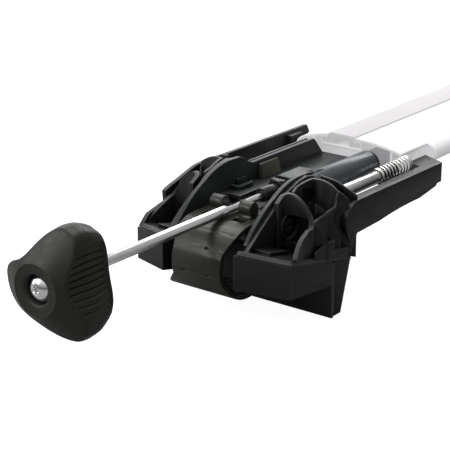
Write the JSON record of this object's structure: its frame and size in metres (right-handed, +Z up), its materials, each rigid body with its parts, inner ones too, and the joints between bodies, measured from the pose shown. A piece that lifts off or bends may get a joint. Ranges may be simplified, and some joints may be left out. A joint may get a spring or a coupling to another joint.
{
  "type": "roof rack crossbar foot",
  "caption": "Clamp foot of a roof-rack crossbar with its cover off, a moving jaw on a clamp bolt, a torque key with a three-lobed knob, and a cut length of crossbar.",
  "frame": {"origin": "on the clamp bolt's axis, above the middle of the roof-rail gap", "axes": "+X to the foot's right-hand side, +Y inboard along the crossbar, +Z up"},
  "size_m": [0.102, 0.441, 0.087],
  "materials": {
    "moulded_black": "fine-grained satin moulding",
    "carriage_grey": "satin moulding, blue-grey cast",
    "tube_grey": "semi-gloss blue-grey",
    "jaw_coat": "black e-coat on pressed steel",
    "black_steel": "black oxide on turned steel, bright where rubbed",
    "pad_rubber": "soft black rubber",
    "bright_steel": "polished and plated",
    "plain_steel": "zinc plated",
    "spring_steel": "bright drawn wire",
    "knob_plastic": "satin glass-filled moulding",
    "limiter_plastic": "natural dark acetal",
    "bar_frost": "pale frosted, partly see-through",
    "slot_rubber": "pale grey ribbed rubber"
  },
  "bodies": {
    "foot": {"carriage": "carriage_grey", "left_rail": "carriage_grey", "upper_floor_plate": "carriage_grey", "guide_block": "carriage_grey", "floor_catch": "carriage_grey", "nut_boss": "carriage_grey", "bolt_nut": "plain_steel", "right_side_block": "moulded_black", "left_side_block": "moulded_black", "fixed_jaw": "moulded_black", "fixed_jaw_pad": "pad_rubber", "right_housing": "moulded_black", "left_housing": "moulded_black", "left_outer_shell": "moulded_black", "right_side_arm": "moulded_black", "guide_tube": "tube_grey", "guide_tube_cap": "moulded_black", "plunger_bush": "moulded_black", "lock_sleeve": "moulded_black", "lock_core": "moulded_black", "bar_tongue": "plain_steel", "tongue_screws": "plain_steel"},
    "plunger": {"plunger_pin": "bright_steel", "plunger_spring": "spring_steel"},
    "outer_jaw": {"outer_jaw": "jaw_coat", "jaw_hooks": "jaw_coat", "jaw_rivets": "jaw_coat", "jaw_pad": "pad_rubber", "bolt_saddle": "black_steel"},
    "clamp_bolt": {"clamp_bolt": "black_steel"},
    "torque_key": {"key_rod": "bright_steel", "drive_hub": "limiter_plastic", "limiter_springs": "spring_steel", "limiter_washer": "plain_steel", "knob_screw": "bright_steel"},
    "knob": {"knob_body": "knob_plastic", "detent_ring": "limiter_plastic"},
    "crossbar": {"crossbar": "bar_frost", "bar_slot_strip": "slot_rubber"}
  },
  "joints": [
    {"name": "jaw_slide", "type": "slide", "parent": "foot", "child": "outer_jaw", "axis": [0, 1, 0], "range_m": [-0.01, 0.003]},
    {"name": "bolt_turn", "type": "hinge", "parent": "outer_jaw", "child": "clamp_bolt", "pos_m": [0, 0.03, 0], "axis": [0, 1, 0], "range_deg": [-3601, 1081]},
    {"name": "key_withdraw", "type": "slide", "parent": "clamp_bolt", "child": "torque_key", "axis": [0, -1, 0], "range_m": [0, 0.12]},
    {"name": "knob_slip", "type": "hinge", "parent": "torque_key", "child": "knob", "pos_m": [0, -0.13, 0], "axis": [0, 1, 0], "continuous": true},
    {"name": "plunger_slide", "type": "slide", "parent": "foot", "child": "plunger", "axis": [0, 1, 0], "range_m": [0, 0.008], "stiffness_N_per_m": 900, "springref_m": -0.004, "deforming": ["plunger_spring"]},
    {"name": "bar_slide", "type": "slide", "parent": "foot", "child": "crossbar", "axis": [0, 1, 0], "range_m": [0, 0.035]}
  ],
  "couplings": [
    {"joint": "bolt_turn", "follows": "jaw_slide", "rad_per_m": 6283.2}
  ]
}
